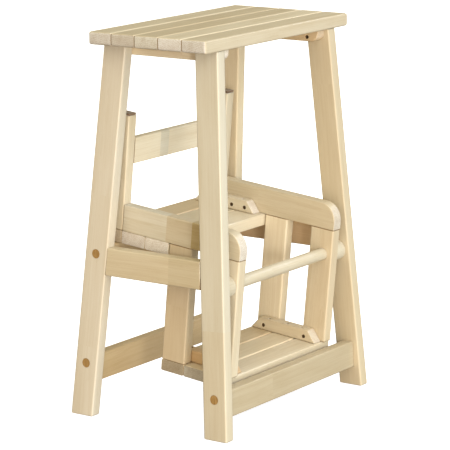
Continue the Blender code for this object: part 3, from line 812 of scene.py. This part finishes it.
def make_screws(name, places, length, body):
    """One piece that holds the screws at these mouths, riding on a body."""
    bm = bmesh.new()
    random = Random(name)
    for origin, direction in places:
        add_screw(bm, aim(origin, direction, random.uniform(0, 90)), length)
    bmesh.ops.recalc_face_normals(bm, faces=bm.faces)
    mesh = bpy.data.meshes.new(name)
    bm.to_mesh(mesh)
    bm.free()
    mesh.materials.append(STEEL)
    screws = bpy.data.objects.new(name, mesh)
    bpy.context.scene.collection.objects.link(screws)
    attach(screws, body)
    return screws


def cleat_screw_places():
    """Mouth and direction of each CAD screw out through a tread cleat, by the screw's name."""
    places = {}
    for name in NODES:
        if "cleat_screw" in name:
            low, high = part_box(name)
            middle = (low + high) / 2
            sign = 1 if low.x > 0 else -1
            mouth = min(abs(low.x), abs(high.x)) - SCREW_RECESS
            places[name] = (Vector((sign * mouth, middle.y, middle.z)), sign * X)
    return places


def tread_screw_places():
    """Mouth and direction of the screws down through the tread cleats into the slats."""
    pivot = Vector(frame["joints"][0]["pos_m"])
    places = []
    for row, reaches in (("upper", UPPER_TREAD_SCREWS), ("lower", LOWER_TREAD_SCREWS)):
        for side, sign in SIDES:
            points = [vert.co for vert in NODES[f"{row}_cleat_{side}"].data.vertices]
            rise = max(point.dot(RISE) for point in points) - pivot.dot(RISE)
            x = sum(point.x for point in points) / len(points) - sign * TREAD_SCREW_OFFSET
            for reach in reaches:
                places.append((pivot + REACH * reach + RISE * rise + X * x, -RISE))
    return places


def seat_screw_places():
    """Mouth and direction of the seat cleats' screws, up into slats and out into legs."""
    places = []
    for side, sign in SIDES:
        low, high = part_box(f"seat_cleat_{side}")
        middle = (low + high) / 2
        inner = min(abs(low.x), abs(high.x))
        x = sign * (inner + CLEAT / 2)
        for offset in SEAT_SCREWS:
            places.append((Vector((x, middle.y + offset, low.z)), Vector((0, 0, 1))))
        for row, inset in (("front", LEG_SCREW_INSET), ("back", -LEG_SCREW_INSET)):
            height = high.z - LEG_SCREW_BELOW_SEAT
            leg = [vert.co for vert in NODES[f"leg_{row}_{side}"].data.vertices]
            top = [point.y for point in leg if point.z > high.z - CLEAT]
            y = (min(top) + max(top)) / 2 + inset
            places.append((Vector((sign * inner, y, height)), sign * X))
    return places


def paint_hole_shade(places):
    """Give the faces inside the cleats' screw holes the painted shade of a deep hole."""
    for name, piece in NODES.items():
        if "cleat_screw" in name or "cleat" not in name:
            continue
        piece.data.materials.append(HOLE_PAINTED_SHADE)
        for face in piece.data.polygons:
            if any(is_in_hole(face.center, *place) for place in places):
                face.material_index = 1


def is_in_hole(point, origin, direction):
    local = point - origin
    depth = local.dot(direction)
    off_axis = (local - direction * depth).length
    return HOLE_LIP < depth < CLEAT and off_axis < HOLE_RADIUS


def make_all_screws():
    cleat_places = cleat_screw_places()
    tread_places = tread_screw_places()
    seat_places = seat_screw_places()
    screws = make_screws(
        "cleat_side_screws", cleat_places.values(), CLEAT_SCREW_LENGTH, "step_unit")
    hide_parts(*cleat_places)
    make_screws("tread_screws", tread_places, COUNTERBORE_DEPTH, "step_unit")
    make_screws("seat_screws", seat_places, COUNTERBORE_DEPTH, "stool_frame")
    paint_hole_shade([*cleat_places.values(), *tread_places, *seat_places])


# ---------------------------------------------------------------- studio
def make_floor():
    """Pale floor that the camera sees, and that takes shadows but lights nothing."""
    mesh = bpy.data.meshes.new("studio_floor")
    half = FLOOR_SIZE / 2
    mesh.from_pydata(
        [(-half, -half, 0), (half, -half, 0), (half, half, 0), (-half, half, 0)], [],
        [(0, 1, 2, 3)])
    material, _, shader = new_material("white_floor")
    shader.inputs["Base Color"].default_value = (FLOOR_ALBEDO, FLOOR_ALBEDO, FLOOR_ALBEDO, 1)
    shader.inputs["Roughness"].default_value = 1.0
    shader.inputs["Specular IOR Level"].default_value = 0.0
    shader.inputs["Emission Color"].default_value = opaque(FLOOR_GLOW)
    shader.inputs["Emission Strength"].default_value = 1.0
    mesh.materials.append(material)
    floor = bpy.data.objects.new("studio_floor", mesh)
    floor.visible_diffuse = False
    floor.visible_glossy = False
    bpy.context.scene.collection.objects.link(floor)


def level_direction(azimuth):
    """Direction at an azimuth from the front (-Y) towards the left (-X), in degrees."""
    angle = radians(azimuth)
    return Vector((-sin(angle), -cos(angle), 0))


def make_softbox(name, azimuth, elevation, width, power, colour):
    """Round area light that faces the middle of the object."""
    angle = radians(elevation)
    away = level_direction(azimuth) * cos(angle) + Vector((0, 0, sin(angle)))
    light = bpy.data.lights.new(name, "AREA")
    light.shape = "DISK"
    light.size = width
    light.energy = power
    light.color = colour
    softbox = bpy.data.objects.new(name, light)
    softbox.location = (CAD_BOX[0] + CAD_BOX[1]) / 2 + away * LIGHT_DISTANCE
    softbox.rotation_euler = away.to_track_quat("Z", "Y").to_euler()
    bpy.context.scene.collection.objects.link(softbox)


def make_world():
    """Soft light from the sky, and from broad lights on the studio's walls."""
    world = bpy.data.worlds.new("studio_light")
    world.use_nodes = True
    bpy.context.scene.world = world
    tree = world.node_tree
    direction = add_node(tree, "ShaderNodeTexCoord").outputs["Generated"]
    height = add_node(tree, "ShaderNodeSeparateXYZ", {"Vector": direction}).outputs["Z"]
    sky = add_node(
        tree, "ShaderNodeValToRGB", {"Fac": calc(tree, "MULTIPLY_ADD", height, 0.5, 0.5)})
    set_stops(sky.color_ramp, [(position, opaque(colour)) for position, colour in SKY_STOPS])
    total = sky.outputs["Color"]
    for azimuth, colour in WALL_LIGHTS:
        facing = vector_calc(tree, "DOT_PRODUCT", direction, tuple(level_direction(azimuth)))
        strength = calc(tree, "POWER", calc(tree, "MAXIMUM", facing, 0.0), WALL_FALLOFF)
        wall = vector_calc(tree, "SCALE", colour)
        connect(tree, wall.node.inputs["Scale"], strength)
        total = vector_calc(tree, "ADD", total, wall)
    connect(tree, tree.nodes["Background"].inputs["Color"], total)


def make_camera():
    """Camera at the photograph's viewing angle."""
    data = bpy.data.cameras.new("photo_view")
    data.lens = CAMERA_LENS
    data.sensor_width = CAMERA_SENSOR
    data.shift_x, data.shift_y = CAMERA_SHIFT
    data.clip_end = CAMERA_REACH
    camera = bpy.data.objects.new("photo_view", data)
    camera.location = CAMERA_PLACE
    camera.rotation_euler = Euler([radians(angle) for angle in CAMERA_TURN])
    bpy.context.scene.collection.objects.link(camera)
    bpy.context.scene.camera = camera


BIRCH = make_birch_group()
SMOOTHING = make_smoothing_group()
FELT = make_felt()
STEEL = make_steel()
HOLE_PAINTED_SHADE = make_hole_painted_shade()
for node_name, node in NODES.items():
    node.data.materials.clear()
    node.data.materials.append(material_of(node_name))
    smooth(node)
make_all_screws()
make_floor()
for softbox in SOFTBOXES:
    make_softbox(*softbox)
make_world()
make_camera()
bpy.context.scene.view_settings.view_transform = "Standard"
